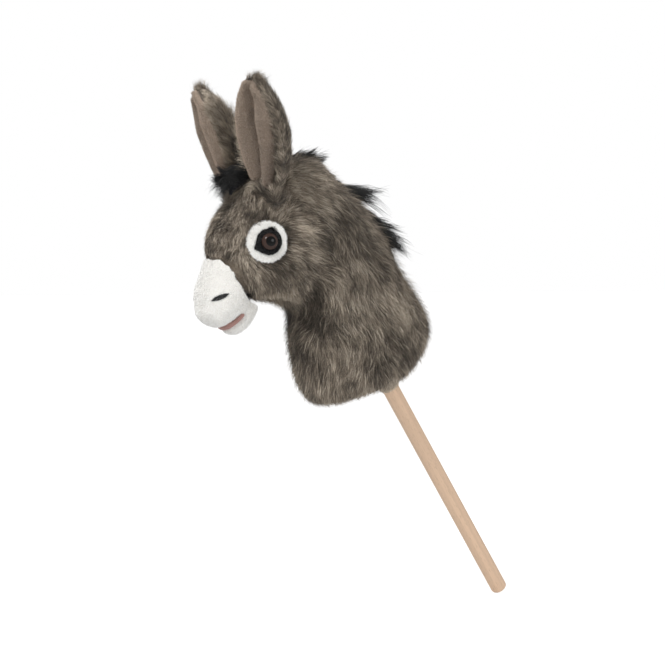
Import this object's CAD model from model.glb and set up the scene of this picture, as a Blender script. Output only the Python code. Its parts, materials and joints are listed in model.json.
"""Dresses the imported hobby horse: long grey-brown pile, white plush muzzle, velour ears and a beech pole.

Places are written in millimetres from the hem, the point where the pole enters the neck, with X the
distance from the toy's mid plane.  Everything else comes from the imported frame, in metres.
"""

import json
import math

import bmesh
import bpy
import numpy as np
from bpy.props import FloatProperty, FloatVectorProperty, PointerProperty
from mathutils import Matrix, Vector
from mathutils.bvhtree import BVHTree
from mathutils.kdtree import KDTree


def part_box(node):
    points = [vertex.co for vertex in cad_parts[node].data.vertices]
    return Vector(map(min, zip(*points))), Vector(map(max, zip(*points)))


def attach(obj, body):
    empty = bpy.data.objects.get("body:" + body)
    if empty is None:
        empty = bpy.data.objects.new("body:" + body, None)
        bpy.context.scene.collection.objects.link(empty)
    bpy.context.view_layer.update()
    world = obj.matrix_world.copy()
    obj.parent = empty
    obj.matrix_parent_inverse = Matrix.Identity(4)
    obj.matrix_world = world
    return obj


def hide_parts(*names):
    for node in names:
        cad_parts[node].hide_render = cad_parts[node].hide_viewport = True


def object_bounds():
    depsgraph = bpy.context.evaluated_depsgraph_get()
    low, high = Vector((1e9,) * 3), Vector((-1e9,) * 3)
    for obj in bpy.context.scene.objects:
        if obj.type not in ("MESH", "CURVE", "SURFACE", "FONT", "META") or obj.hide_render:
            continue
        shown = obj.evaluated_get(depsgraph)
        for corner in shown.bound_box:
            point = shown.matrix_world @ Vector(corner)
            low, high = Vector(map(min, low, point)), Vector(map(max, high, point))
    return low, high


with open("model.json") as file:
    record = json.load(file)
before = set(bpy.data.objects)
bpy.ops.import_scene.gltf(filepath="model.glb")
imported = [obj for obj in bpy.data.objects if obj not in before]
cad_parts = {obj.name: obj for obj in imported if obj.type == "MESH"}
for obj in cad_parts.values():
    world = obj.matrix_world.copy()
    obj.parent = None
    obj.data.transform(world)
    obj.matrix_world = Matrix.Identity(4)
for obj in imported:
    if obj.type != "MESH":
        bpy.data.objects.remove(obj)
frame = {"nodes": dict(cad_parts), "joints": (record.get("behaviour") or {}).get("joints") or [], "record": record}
CAD_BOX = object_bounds()

bl_info = {
    "name": "Plush donkey hobby horse",
    "version": (1, 0, 0),
    "blender": (4, 5, 0),
    "location": "View3D > Sidebar > Hobby horse",
    "description": "Fur, plush, eyes and wood of a donkey's head on a pole",
    "category": "Object",
}

MM = 0.001
SIDES = {"left": 1, "right": -1}
NODES = frame["nodes"]
JOINTS = {joint["name"]: joint for joint in frame["joints"]}
MOUNTS = {mount["name"]: mount for mount in frame["record"]["mounts"]}

# Pole
POLE_AXIS = Vector(MOUNTS["hand_grip"]["axis"])
POLE_TILT = math.atan2(-POLE_AXIS.y, POLE_AXIS.z)
HEM = POLE_AXIS * 0.075

# Pile
STUFFING_INSET = 13.2  # mm from the outside of the fur to the stuffing
PILE_DEPTH = 0.50  # how deep a strand is rooted, as a share of its length
COVERED_WITHIN = 0.004  # metres above a point that have to be free for pile to grow there
INSIDE_WITHIN = 0.08  # metres above a point that are searched for the skin of a solid round it
SKIN_VOXEL = 0.004
SKIN_PASSES = 5  # of smoothing
BAKE_MAP = "OFBake"
TINT_WIDTH = 0.006  # width of a strand in its map, so that each tint covers whole pixels

# How the pile of the head and neck is combed. Each row: place, direction, length in mm, lift in degrees
COMBING = [
    ((0, -262, 180), (0, 0.1, -1), 10, 15),
    ((22, -262, 178), (0, 0.1, -1), 10, 15),
    ((28, -262, 208), (0.1, -0.3, -1), 15, 30),
    ((0, -262, 222), (0, -0.6, -0.8), 17, 46),
    ((25, -243, 245), (0, -0.5, -0.8), 19, 30),
    ((46, -250, 176), (0, 0.1, -1), 8, 14),
    ((57, -206, 218), (0, 0.6, 0.8), 17, 22),
    ((61, -172, 190), (0, 1, 0.15), 22, 22),
    ((57, -208, 148), (0, 0.9, -0.4), 18, 20),
    ((32, -200, 118), (0, 0.4, -1), 18, 22),
    ((40, -240, 140), (0, 0.5, -0.8), 10, 18),
    ((58, -160, 155), (0, 0.95, -0.3), 26, 24),
    ((48, -160, 122), (0, 0.85, -0.5), 24, 24),
    ((57, -110, 185), (0, 0.6, -0.8), 28, 22),
    ((52, -125, 240), (0, 0.85, -0.45), 27, 22),
    ((20, -160, 285), (0, 1, -0.1), 24, 24),
    ((12, -196, 280), (0, 0.3, 1), 20, 45),
    ((42, -75, 235), (0, 0.65, -0.75), 30, 20),
    ((52, -130, 110), (0, 0, -1), 26, 20),
    ((0, -165, 90), (0, -0.05, -1), 26, 20),
    ((56, -60, 110), (0, 0.2, -1), 30, 20),
    ((48, 10, 120), (0, 0.45, -0.9), 30, 20),
    ((0, 20, 150), (0, 0.5, -0.85), 30, 20),
    ((50, -115, 20), (0, 0, -1), 28, 18),
    ((50, 30, 40), (0, 0.4, -0.9), 28, 18),
    ((25, -60, -20), (0, 0.35, -1), 20, 16),
    ((25, 20, -12), (0, 0.5, -1), 21, 16),
]

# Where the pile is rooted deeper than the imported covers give: place, reach and depth in mm
INSETS = [
    ((42, -182, 100), 30, 10),
    ((0, -185, 92), 34, 7),
    ((6, -70, 252), 40, 7),
    ((0, -35, 215), 26, 4),
]

# Where the pile is darker or paler than most: place, reach in mm and shift of tint
TONES = [
    ((51, -124, 214), 10, -0.28),
    ((50, -131, 182), 12, -0.38),
    ((48, -137, 152), 13, -0.44),
    ((40, -140, 125), 15, -0.44),
    ((26, -144, 95), 26, -0.46),
    ((45, -60, 210), 45, -0.11),
    ((51, -205, 216), 14, -0.12),
    ((30, -255, 215), 25, 0.14),
    ((35, -215, 240), 22, 0.09),
    ((56, -195, 145), 26, -0.1),
    ((57, -106, 48), 34, 0.26),
    ((44, -112, 240), 26, -0.18),
    ((50, -60, 120), 30, 0.16),
]

# The two coats of the long pile, and the ears' third one: strands to a square millimetre; length, lift and
# width, as shares of what the skin gives; the middle tint, and how far locks and strands stray from it; how
# tightly a lock is drawn together; and the segments of a strand
COATS = {
    "underfur": dict(
        density=0.82, length=0.72, lift=1.0, width=0.66, tint=0.33, stray=0.16, pull=0.30, parts=2
    ),
    "locks": dict(
        density=0.48, length=0.98, lift=1.15, width=0.52, tint=0.59, stray=0.28, pull=0.50, parts=4
    ),
}
RIM_COAT = dict(density=1.5, length=0.75, lift=1.0, width=0.6, tint=0.55, stray=0.22, pull=0.45, parts=3)
LOCK_SPACING = 5.0  # mm between the locks
LOCK_STRETCH = 2.6  # how much longer a lock is along the pile than across it
FLYAWAY_SHARE = 0.13  # of the strands, that stay out of the locks
FLYAWAY_LIFT = 2.3  # how much steeper they stand

# Where no long pile is rooted, in mm
EYE_PLACE = Vector((59, -211, 183))
EYE_CLEARING = 22.4  # round the middle of an eye
MUZZLE_CLEARING = 3.5  # beside the muzzle
LAP_CLEARING = 6.5  # beyond that, where the muzzle laps over the head
FORELOCK_PLACE = (0, -228, 262)
FORELOCK_CLEARING = 12.0  # round the forelock

# Where the mane stands out of the fur: y and z of a tuft, its reach along the neck and its length in mm, and
# the way it points
MANE_TUFTS = [
    ((-134, 288), 12, 36, (0.6, 0.8)),
    ((-69, 253), 11, 78, (0.93, 0.5)),
    ((-50, 235), 7, 26, (0.97, 0.1)),
    ((-36, 220), 10, 54, (0.98, 0.0)),
    ((-26, 206), 10, 56, (0.97, -0.1)),
    ((-18, 193), 10, 52, (0.96, -0.2)),
]
MANE_SHORT = 8.0  # mm, between the tufts
FORELOCK_REACH = 12.0  # mm above and below its place where its hair is long
FORELOCK_FOOT = 257.0  # height that no hair of the forelock is rooted under

# The two hair pieces: strands to a square millimetre, and how deep they are sunk in the brown pile, in mm
HAIR_DENSITY = {"mane": 2.6, "forelock": 4.0}
HAIR_DEPTH = {"mane": 6, "forelock": 5}
BACKING_DEPTH = 3  # mm more, for the backing that the hair stands in
HAIR_LIFT = math.radians(28)

# Ears, as the frame places them
EAR_LEAN_FORWARD = math.radians(18)
EAR_LEAN_OUT = math.radians(11)
EAR_OPENING_OUT = {"left": math.radians(4), "right": math.radians(17)}

# How the pile of an ear is combed. The rows add up, each as far as a strand is in its zone: its way outwards,
# backwards and up, its length in mm, its lift as a share, and its tint
EAR_COMBING = {
    "all": (0, 0.12, 1, 17, 1, -0.12),
    "wisps": (-0.9, -1.1, -0.3, 12, 0.9, 0),
    "heel": (0, -0.6, -1.3, 0, 0, 0),
    "front of tip": (0, -0.3, 0, 0, 0, 0),
    "outside of tip": (0, 0, 0, 7, 0, 0),
    "inside of tip": (0, 0, 0, -11, 0, 0.3),
    "front": (0, 0, 0, -6, 0, 0),
    "over lining": (0, 0, 0, 0, 0.8, 0),
    "inwards": (-1.2, 0, 0, 0, 0, 0),
    "outwards": (1.2, 0, 0, 0, 0, 0),
    "root": (0, 0, 0, 0, 0, -0.25),
}
EAR_LIFT = math.radians(20)
EAR_DENSITY = 1.15  # as a share of the neck's
EAR_DEPTH = 0.28  # how deep a strand is rooted, as a share of its length
EAR_LOCKS = 0.9  # spacing of its locks, as a share of the neck's
OUTWARDS_SHARE = 0.3  # of the strands at an ear's outer foot, that don't close over the lining
WISPS_TINT = {"left": 0.45, "right": 0.18}
WISPS_TOP = {"left": 104.0, "right": 124.0}  # mm up the inner edge where its pale wisps end
WISPS_FADE = 30.0  # mm that they take to end
EAR_BACKING_DEPTH = 3.5  # mm

# Lining of the ears, in mm up it and across it unless metres are said
LINING_VOXEL = 0.002  # metres
LINING_DRAWN_IN = 0.0002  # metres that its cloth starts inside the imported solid
LINING_TOP = 127.0
FOLD_TOP = 110.0
FOLD_FADE = 18.0  # the fold is whole this far under its top
FOLD_DIMPLE = 0.001  # metres that the fold is drawn in before the cloth is blown up
FOLD_LINE = ([60, 95, 118], [0.05, -0.12, -0.45])  # heights, and places across from -1 to 1
LOBE_RISE = 5.5
GROOVE_DEPTH = 5.0
GROOVE_HALF_WIDTH = 3.0
LINING_SQUEEZE = ([15, 45, 80, 112], [15, 11, 6, 0])  # heights, and how far the outer edge is drawn in
LINING_LIFT = 4.5  # how far the top is drawn up
LINING_LIFTED = (95, 125)  # heights where that starts and where it is whole
LINING_TINT = 0.82
VALLEY_SHADE = 0.55  # how much darker the velour is beside the fold
VALLEY_WIDTH = 8.0  # of that shade on the inner side of the fold
VALLEY_EDGE = 1.8  # and on its outer side
RIM_SHADE = 0.2  # how much paler the inner rim is
LOBE_SHADE = 0.16  # the outer lobe catches more of the light, and its velour is a little darker

# Cloth that is blown up into stuffed pieces
CLOTH_PRESSURE = 4.0
CLOTH_FRAMES = 20
SWELL_LIMIT = 0.003  # metres that a point of it may move

# Sleeve on the pole: radius and height above the hem, in mm
SLEEVE_PROFILE = [
    (11.4, 0.0),
    (12.4, 0.0),
    (13.4, 2.0),
    (14.4, 7.0),
    (14.9, 20.0),
    (14.9, 33.5),
    (11.4, 33.5),
]
FRINGE_TOP = 16.0  # height up to which its fringe is rooted
FRINGE_RADIUS = 12.0  # and how near to the pole's axis
FRINGE_LENGTH = 0.008  # metres

# Nostrils, in metres
STITCHES = 17
NOSTRIL_HALF_WIDTH = 0.0036
STITCH_RISE = 0.0016  # of a stitch out of the plush, and as much is sunk
NOSTRIL_DIMPLE = 0.0014  # how deep the plush is drawn in there
NOSTRIL_REACH = 0.0075  # and how far round them

# Muzzle: places and heights in mm from the hem, the rest in metres
MUZZLE_VOXEL = 0.0026
MUZZLE_DRAWN_IN = 0.0009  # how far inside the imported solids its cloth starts
SLIT_REACH = 0.0026  # from the felt of the mouth, and as much again at the chin
SLIT_DEPTH = 0.0045
MOUTH_WIDENS = (-224.0, -244.0)  # where the slit starts to widen forwards, and where it is widest
LAP_FROM = (138.0, 154.0)  # heights where the muzzle starts to lap over the head, and where it does wholly
LAP_FRONT = (-232.0, -242.0)  # and the same from back to front
LAP_RISE = 0.008
LAP_HEIGHT = 0.001  # of its edge over the head
LAP_UNDER = 0.0015  # points deeper in the head than this stay
MUZZLE_TOP = (0, -260, 168)
JAW_CORNER = (25, -204, 109)
CORNER_REACH = 0.016  # round a corner that is worn round

# Eyes, in mm: the plastic rests on its felt, and its rim and dome rise from there
EYE_RADIUS = 10.0
EYE_EDGE = 0.3  # worn off its lower edge
EYE_SHANK = 2.0
EYE_SHANK_EDGE = 0.2
EYE_RIM = 1.0
EYE_DOME = 6.5
EYE_DOME_STEPS = 12
PUPIL_RADIUS = 5.9
PUPIL_SOFTNESS = 0.3
PUPIL_COLOUR = (0.002, 0.002, 0.002)
RING_INSIDE = 17.2  # from the middle of an eye to the white pile
FELT_TUFT_WAY = (0.2, 0.98)  # back and up: the felt's tuft that breaks the white patch
FELT_PILE = (0.0022, 0.0078)  # metres, and how much longer in that tuft

# View
VIEW_AZIMUTH = math.radians(57)
VIEW_ELEVATION = math.radians(2)
VIEW_DISTANCE = 2.1
METRES_PER_PIXEL = 1.287e-3
FRAME_PIXELS = 665
VIEW_RIGHT_OF_HEM = -57 * METRES_PER_PIXEL
VIEW_ABOVE_HEM = 54 * METRES_PER_PIXEL

# Light, and the floor under the toy
AMBIENT = 0.46
KEY_SIZE, KEY_POWER = 0.6, 29
FILL_SIZE, FILL_POWER = 0.8, 10
FLOOR_SIZE = 30
FLOOR_GAP = 0.0005
FLOOR_GLOW = 0.66  # with it the floor reads as white


def toy_place(x, y, z):
    """A place given in millimetres from the hem, as a point of the frame."""
    return HEM + Vector((x, y, z)) * MM


def from_hem(points):
    """Points of the frame, in millimetres from the hem."""
    return (points - np.array(HEM)) / MM


def away_from(place, points):
    """How far points are from a place of the frame, in millimetres."""
    return np.linalg.norm(points - np.array(place), axis=1) / MM


def ramp(values, start, end):
    """0 up to the start, 1 from the end on and even between them; the end may be the lower of the two."""
    return np.clip((values - start) / (end - start), 0, 1)


class ToySettings(bpy.types.PropertyGroup):
    """Sizes and colours of the finished toy."""

    pile_density: FloatProperty(
        name="Pile density",
        description="How thickly the long pile grows",
        default=1.0,
        min=0.1,
        subtype="FACTOR",
    )
    strand_width: FloatProperty(
        name="Strand width",
        description="Width of a strand of long pile",
        default=0.0009,
        unit="LENGTH",
        subtype="DISTANCE",
    )
    forelock_length: FloatProperty(
        name="Forelock length",
        description="Length of the black pile between the ears",
        default=0.026,
        unit="LENGTH",
        subtype="DISTANCE",
    )
    plush_length: FloatProperty(
        name="Plush pile",
        description="Length of the white plush's pile",
        default=0.0026,
        unit="LENGTH",
        subtype="DISTANCE",
    )
    fur_dark: FloatVectorProperty(
        name="Fur, dark", description="Darkest locks", default=(0.045, 0.036, 0.026), subtype="COLOR"
    )
    fur_middle: FloatVectorProperty(
        name="Fur, middle", description="Most locks", default=(0.255, 0.207, 0.157), subtype="COLOR"
    )
    fur_light: FloatVectorProperty(
        name="Fur, light", description="Palest locks", default=(0.70, 0.605, 0.485), subtype="COLOR"
    )
    white: FloatVectorProperty(
        name="White plush", description="Muzzle and eye patches", default=(0.965, 0.96, 0.94), subtype="COLOR"
    )
    velour: FloatVectorProperty(
        name="Velour", description="Lining of the ears", default=(0.33, 0.262, 0.208), subtype="COLOR"
    )
    black: FloatVectorProperty(
        name="Black pile", description="Mane and forelock", default=(0.012, 0.012, 0.014), subtype="COLOR"
    )
    mouth: FloatVectorProperty(
        name="Mouth", description="Felt between the lips", default=(0.36, 0.205, 0.18), subtype="COLOR"
    )
    iris: FloatVectorProperty(
        name="Iris", description="Plastic of the eyes", default=(0.043, 0.025, 0.02), subtype="COLOR"
    )
    wood: FloatVectorProperty(
        name="Beech", description="Wood of the pole", default=(0.665, 0.47, 0.325), subtype="COLOR"
    )


# Small tools for meshes


def node_bmesh(*names):
    """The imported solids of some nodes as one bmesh, with their loose triangles joined up."""
    bm = bmesh.new()
    for name in names:
        bm.from_mesh(NODES[name].data)
    bmesh.ops.remove_doubles(bm, verts=bm.verts, dist=1e-6)
    bm.normal_update()
    return bm


def new_piece(name, bm, material, body="horse"):
    """Turns a finished bmesh into a smooth piece that rides on a body."""
    mesh = bpy.data.meshes.new(name)
    bm.to_mesh(mesh)
    bm.free()
    mesh.shade_smooth()
    return add_piece(name, mesh, material, body)


def add_piece(name, mesh, material, body):
    """Makes a finished mesh a piece that rides on a body."""
    mesh.materials.append(material)
    piece = bpy.data.objects.new(name, mesh)
    bpy.context.scene.collection.objects.link(piece)
    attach(piece, body)
    return piece


def places_of(shape):
    """The vertices of a bmesh as an array."""
    return np.array([vertex.co for vertex in shape.verts])


def node_places(name):
    """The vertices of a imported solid, each once, as an array."""
    bm = node_bmesh(name)
    points = places_of(bm)
    bm.free()
    return points


def tree_of(*names):
    """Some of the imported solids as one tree, for finding what they cover."""
    bm = node_bmesh(*names)
    tree = BVHTree.FromBMesh(bm)
    bm.free()
    return tree


def turned_shape(profile, steps, place, closed=False):
    """A profile of radii and heights in mm, going outwards and up, turned round Z and put in its place."""
    turned = bmesh.new()
    turns = [math.tau * i / steps for i in range(steps)]
    rings = []
    for radius, height in profile:
        places = [Vector((radius * math.cos(turn), radius * math.sin(turn), height)) * MM for turn in turns]
        if radius == 0:
            rings.append([turned.verts.new(place @ places[0])] * steps)
        else:
            rings.append([turned.verts.new(place @ spot) for spot in places])
    for low, high in zip(rings, rings[1:] + rings[:1] if closed else rings[1:]):
        for i in range(steps):
            corners = (low[i - 1], low[i], high[i], high[i - 1])
            turned.faces.new(list(dict.fromkeys(corners)))
    turned.normal_update()
    return turned


def unit(vectors):
    """Directions of unit length."""
    return vectors / np.maximum(np.linalg.norm(vectors, axis=-1, keepdims=True), 1e-9)


def uncovered(points, normals, tree):
    """Which points nothing covers closely and no solid holds inside it."""
    open_to_air = np.empty(len(points), bool)
    for i, (point, normal) in enumerate(zip(points, normals)):
        heading = Vector(normal)
        hit, facing, _, reach = tree.ray_cast(Vector(point) + heading * 0.0002, heading, INSIDE_WITHIN)
        open_to_air[i] = hit is None or (reach > COVERED_WITHIN and facing.dot(heading) < 0)
    return open_to_air


def sample_outside(bm, density, rng, tree, keep=None, smooth_passes=3):
    """Random points and normals on a shape where nothing covers it closely; density is to a square mm."""
    bmesh.ops.triangulate(bm, faces=bm.faces)
    bm.verts.ensure_lookup_table()
    normals = np.array([vertex.normal for vertex in bm.verts])
    pairs = np.array([[vertex.index for vertex in edge.verts] for edge in bm.edges])
    for _ in range(smooth_passes):
        total = normals.copy()
        np.add.at(total, pairs[:, 0], normals[pairs[:, 1]])
        np.add.at(total, pairs[:, 1], normals[pairs[:, 0]])
        normals = unit(total)
    corners = np.array([[vertex.index for vertex in face.verts] for face in bm.faces])
    places = places_of(bm)
    bm.free()
    a, b, c = (places[corners[:, i]] for i in range(3))
    area = np.linalg.norm(np.cross(b - a, c - a), axis=1) / 2
    count = int(density * quick_share() * area.sum() / MM**2)
    pick = rng.choice(len(area), count, p=area / area.sum())
    u = np.sqrt(rng.random((count, 1)))
    v = rng.random((count, 1))
    shares = (1 - u, u * (1 - v), u * v)
    points = sum(share * places[corners[pick, i]] for i, share in enumerate(shares))
    directions = unit(sum(share * normals[corners[pick, i]] for i, share in enumerate(shares)))
    if keep is not None:
        kept = keep(points, directions)
        points, directions = points[kept], directions[kept]
    clear = uncovered(points, directions, tree)
    return points[clear], directions[clear]


def combed(points):
    """Direction, length and lift of the pile of the head and neck at each point."""
    local = from_hem(points)
    side = np.where(local[:, :1] < 0, -1.0, 1.0)
    mirrored = local * np.hstack([side, np.ones((len(local), 2))])
    places = np.array([row[0] for row in COMBING], float)
    directions = unit(np.array([row[1] for row in COMBING], float))
    lengths = np.array([row[2] for row in COMBING], float)
    lifts = np.radians([row[3] for row in COMBING])
    distance = np.linalg.norm(mirrored[:, None] - places[None], axis=2)
    weight = 1 / (distance**2 + 60) ** 2
    weight /= weight.sum(1, keepdims=True)
    flow = weight @ directions
    flow[:, 0] *= side[:, 0]
    return unit(flow), weight @ lengths * MM, weight @ lifts


def swirl(points, size, seed, strength):
    """A smooth wandering offset of direction, a few waves of which cross the toy."""
    rng = np.random.default_rng(seed)
    offset = np.zeros_like(points)
    for _ in range(6):
        wave = rng.normal(size=3) / size
        turn = rng.random(3) * math.tau
        offset += np.sin(points @ wave[:, None] + turn)
    return offset * strength / 6


# Strands


def strand_lines(roots, normals, flow, length, lift, droop, segments, bend=None):
    """Centre lines that leave the skin at their lift, lie down along the flow, bend aside and droop."""
    along = flow - normals * np.sum(flow * normals, axis=1, keepdims=True)
    along = unit(along + flow * 0.02)
    aside = np.cross(normals, along)
    if bend is None:
        bend = np.zeros(len(roots))
    lines = [roots]
    for k in range(segments):
        t = (k + 0.5) / segments
        angle = lift * (1.75 - 1.45 * t)
        heading = unit(
            along * np.cos(angle)[:, None]
            + normals * np.sin(angle)[:, None]
            + aside * (bend * (t - 0.3))[:, None]
            + np.array([0.0, 0.0, -droop * t])
        )
        lines.append(lines[-1] + heading * (length / segments)[:, None])
    return np.stack(lines, axis=1)


def gather(lines, flow, rng, spacing, density, pull, loose=None):
    """Draws strands, but not the loose ones, to the leader of their lock; gives lines and leaders."""
    share = 1 / (density * quick_share() * spacing**2)
    leaders = np.flatnonzero(rng.random(len(lines)) < share)
    tree = KDTree(len(leaders))
    for i in leaders:
        tree.insert(lines[i, 0], int(i))
    tree.balance()
    roots = lines[:, 0]
    near = np.array([[found[1] for found in tree.find_n(root, 5)] for root in roots])
    gaps = roots[near] - roots[:, None]
    along = np.sum(gaps * flow[:, None], axis=2)
    distance = np.sqrt(np.maximum(np.sum(gaps**2, axis=2) - (1 - 1 / LOCK_STRETCH**2) * along**2, 0))
    best = distance.argmin(axis=1)
    rows = np.arange(len(lines))
    nearest = near[rows, best]
    strength = pull * np.clip(1.6 - distance[rows, best] / (spacing * MM * 0.8), 0, 1)
    if loose is not None:
        strength[loose] = 0
    t = np.linspace(0, 1, lines.shape[1])[None, :, None]
    return lines + (lines[nearest] - lines) * strength[:, None, None] * t**1.4, nearest


def strands(name, lines, normals, width, tint, rng, material, body, slot, roll=0.9):
    """A mesh of flat tapering strands; the map of each holds its tint across and its root to tip up."""
    count, points = lines.shape[:2]
    headings = unit(np.gradient(lines, axis=1))
    across = unit(np.cross(headings, normals[:, None]))
    turn = rng.uniform(-roll, roll, count)[:, None, None]
    across = unit(across * np.cos(turn) + np.cross(headings, across) * np.sin(turn))
    t = np.linspace(0, 1, points)
    width = width / math.sqrt(quick_share())
    half = 0.5 * width[:, None] * (0.7 + 0.6 * t - 1.3 * t**2)[None]
    half = np.maximum(half, 0)[..., None]
    rows = points - 1
    vertices = np.empty((count, rows * 2 + 1, 3))
    vertices[:, 0:-1:2] = (lines - across * half)[:, :-1]
    vertices[:, 1:-1:2] = (lines + across * half)[:, :-1]
    vertices[:, -1] = lines[:, -1]
    base = np.arange(count)[:, None] * (rows * 2 + 1)
    corner_list = []
    for k in range(rows - 1):
        corner_list += [2 * k, 2 * k + 1, 2 * k + 3, 2 * k + 2]
    corner_list += [2 * rows - 2, 2 * rows - 1, 2 * rows]
    corner_list = np.array(corner_list)
    loops = (base + corner_list).ravel()
    sizes = np.array([4] * (rows - 1) + [3])
    totals = np.tile(sizes, count)
    starts = np.concatenate([[0], np.cumsum(totals)[:-1]])
    mesh = bpy.data.meshes.new(name)
    mesh.vertices.add(vertices.shape[0] * vertices.shape[1])
    mesh.vertices.foreach_set("co", vertices.astype(np.float32).ravel())
    mesh.loops.add(len(loops))
    mesh.loops.foreach_set("vertex_index", loops.astype(np.int32))
    mesh.polygons.add(len(totals))
    mesh.polygons.foreach_set("loop_start", starts.astype(np.int32))
    uv = mesh.uv_layers.new(name=BAKE_MAP)
    height = corner_list // 2 / rows
    shift = np.where(corner_list % 2 == 0, -1, 1) * TINT_WIDTH
    shift[-1] = 0
    tint = np.clip(tint, 2 * TINT_WIDTH, 1 - 2 * TINT_WIDTH)
    map_u = tint[:, None] + shift[None]
    map_v = np.broadcast_to(0.02 + 0.96 * height, map_u.shape)
    uv.data.foreach_set("uv", np.stack([map_u, map_v], -1).astype(np.float32).ravel())
    mesh.update()
    mesh.validate()
    mesh.shade_smooth()
    return add_piece(name, mesh, material, body)


def quick_share():
    """The share of all strands that grows."""
    return 1.0


def short_pile(
    name, bm, rng, tree, material, body, slot, density, length, lift, tint, flow=None, keep=None, stray=0.12
):
    """A nap of short strands on a finished shape; length, flow and tint may be functions of the points."""
    points, normals = sample_outside(bm, density, rng, tree, keep, 1)
    if flow is None:
        heading = unit(rng.normal(size=points.shape))
    else:
        way = flow(points) if callable(flow) else np.array(flow)
        heading = unit(way + rng.normal(0, 0.35, points.shape))
    reach = length(points) if callable(length) else length
    lengths = reach * rng.uniform(0.6, 1.25, len(points))
    lifts = math.radians(lift) * rng.uniform(0.6, 1.3, len(points))
    roots = points - normals * (0.25 * lengths)[:, None]
    lines = strand_lines(roots, normals, heading, lengths, lifts, 0.0, 2)
    middle = tint(points) if callable(tint) else tint
    shades = middle + swirl(points, 0.012, 17, stray)[:, 0] + rng.normal(0, stray, len(points))
    width = 0.00055 * rng.uniform(0.7, 1.3, len(points))
    return strands(name, lines, normals, width, shades, rng, material, body, slot)


# Stuffed and soft bodies


def set_modifiers(piece):
    """Makes what the modifiers of a piece show its own mesh."""
    bpy.context.view_layer.update()
    evaluated = piece.evaluated_get(bpy.context.evaluated_depsgraph_get())
    mesh = bpy.data.meshes.new_from_object(evaluated)
    piece.modifiers.clear()
    old = piece.data
    piece.data = mesh
    bpy.data.meshes.remove(old)


def even_blank(bm, voxel):
    """A loose object with one closed, evenly divided skin round some solids."""
    mesh = bpy.data.meshes.new("blank")
    bm.to_mesh(mesh)
    bm.free()
    blank = bpy.data.objects.new("blank", mesh)
    bpy.context.scene.collection.objects.link(blank)
    remesh = blank.modifiers.new("remesh", "REMESH")
    remesh.mode = "VOXEL"
    remesh.voxel_size = voxel
    set_modifiers(blank)
    return blank


def take_shape(blank):
    """A bmesh of an object's own mesh."""
    shape = bmesh.new()
    shape.from_mesh(blank.data)
    return shape


def outer_skin(shape):
    """Leaves only the largest of a shape's separate skins, and no cavity inside it."""
    island_of = {}
    islands = []
    for seed in shape.verts:
        if seed in island_of:
            continue
        island = [seed]
        island_of[seed] = len(islands)
        for vertex in island:
            for edge in vertex.link_edges:
                other = edge.other_vert(vertex)
                if other not in island_of:
                    island_of[other] = len(islands)
                    island.append(other)
        islands.append(island)
    largest = max(islands, key=len)
    spare = [vertex for island in islands if island is not largest for vertex in island]
    bmesh.ops.delete(shape, geom=spare, context="VERTS")


def softened(bm, voxel, passes, swell):
    """Some solids as one soft shape with its edges worn round."""
    blank = even_blank(bm, voxel)
    shape = take_shape(blank)
    bpy.data.objects.remove(blank)
    outer_skin(shape)
    smooth(shape, passes)
    push_out(shape, np.full(len(shape.verts), swell))
    return shape


def smooth(shape, passes, vertices=None):
    """Evens out a shape, or only some of its vertices."""
    moved = shape.verts if vertices is None else vertices
    for _ in range(passes):
        bmesh.ops.smooth_vert(
            shape, verts=moved, factor=0.5, use_axis_x=True, use_axis_y=True, use_axis_z=True
        )
    shape.normal_update()


def push_out(shape, reach):
    """Moves each vertex of a shape out along its normal by its own reach."""
    moved = [vertex.co + vertex.normal * distance for vertex, distance in zip(shape.verts, reach.tolist())]
    for vertex, place in zip(shape.verts, moved):
        vertex.co = place
    shape.normal_update()


def blown_up(bm, voxel, drawn_in, held, dimple=0.0):
    """Some solids drawn in, evenly divided and blown up as cloth; held gives how firmly points stay."""
    shape = softened(bm, voxel, 2, -drawn_in)
    firmness = held(places_of(shape))
    push_out(shape, -dimple * firmness)
    start = places_of(shape)
    mesh = bpy.data.meshes.new("blank")
    shape.to_mesh(mesh)
    shape.free()
    blank = bpy.data.objects.new("blank", mesh)
    scene = bpy.context.scene
    scene.collection.objects.link(blank)
    group = blank.vertex_groups.new(name="held")
    for index, firm in enumerate(firmness):
        group.add([index], float(firm), "REPLACE")
    cloth = blank.modifiers.new("cloth", "CLOTH")
    cloth.settings.use_pressure = True
    cloth.settings.uniform_pressure_force = CLOTH_PRESSURE
    cloth.settings.effector_weights.gravity = 0
    cloth.settings.vertex_group_mass = group.name
    cloth.point_cache.frame_end = CLOTH_FRAMES
    for step in range(1, CLOTH_FRAMES + 1):
        scene.frame_set(step)
    set_modifiers(blank)
    scene.frame_set(1)
    shape = take_shape(blank)
    bpy.data.objects.remove(blank)
    travel = places_of(shape) - start
    far = np.maximum(np.linalg.norm(travel, axis=1, keepdims=True), 1e-9)
    ends = start + travel * np.minimum(1, SWELL_LIMIT / far)
    for vertex, place in zip(list(shape.verts), ends):
        vertex.co = place
    return shape


def stuffed_piece(name, shape, material, body, replaced):
    """A stuffed shape as a declared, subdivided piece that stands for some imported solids."""
    piece = new_piece(name, shape, material, body)
    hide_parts(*replaced)
    finer = piece.modifiers.new("finer", "SUBSURF")
    finer.levels = 1
    finer.render_levels = 1
    return piece


# Materials


def new_material(name, roughness, sheen=0.0, specular=0.5):
    """A material and its Principled shader, with the values that are the same all over."""
    made = bpy.data.materials.new(name)
    made.use_nodes = True
    shader = made.node_tree.nodes["Principled BSDF"]
    shader.inputs["Roughness"].default_value = roughness
    shader.inputs["Sheen Weight"].default_value = sheen
    shader.inputs["Specular IOR Level"].default_value = specular
    return made, made.node_tree.nodes, made.node_tree.links, shader


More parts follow.
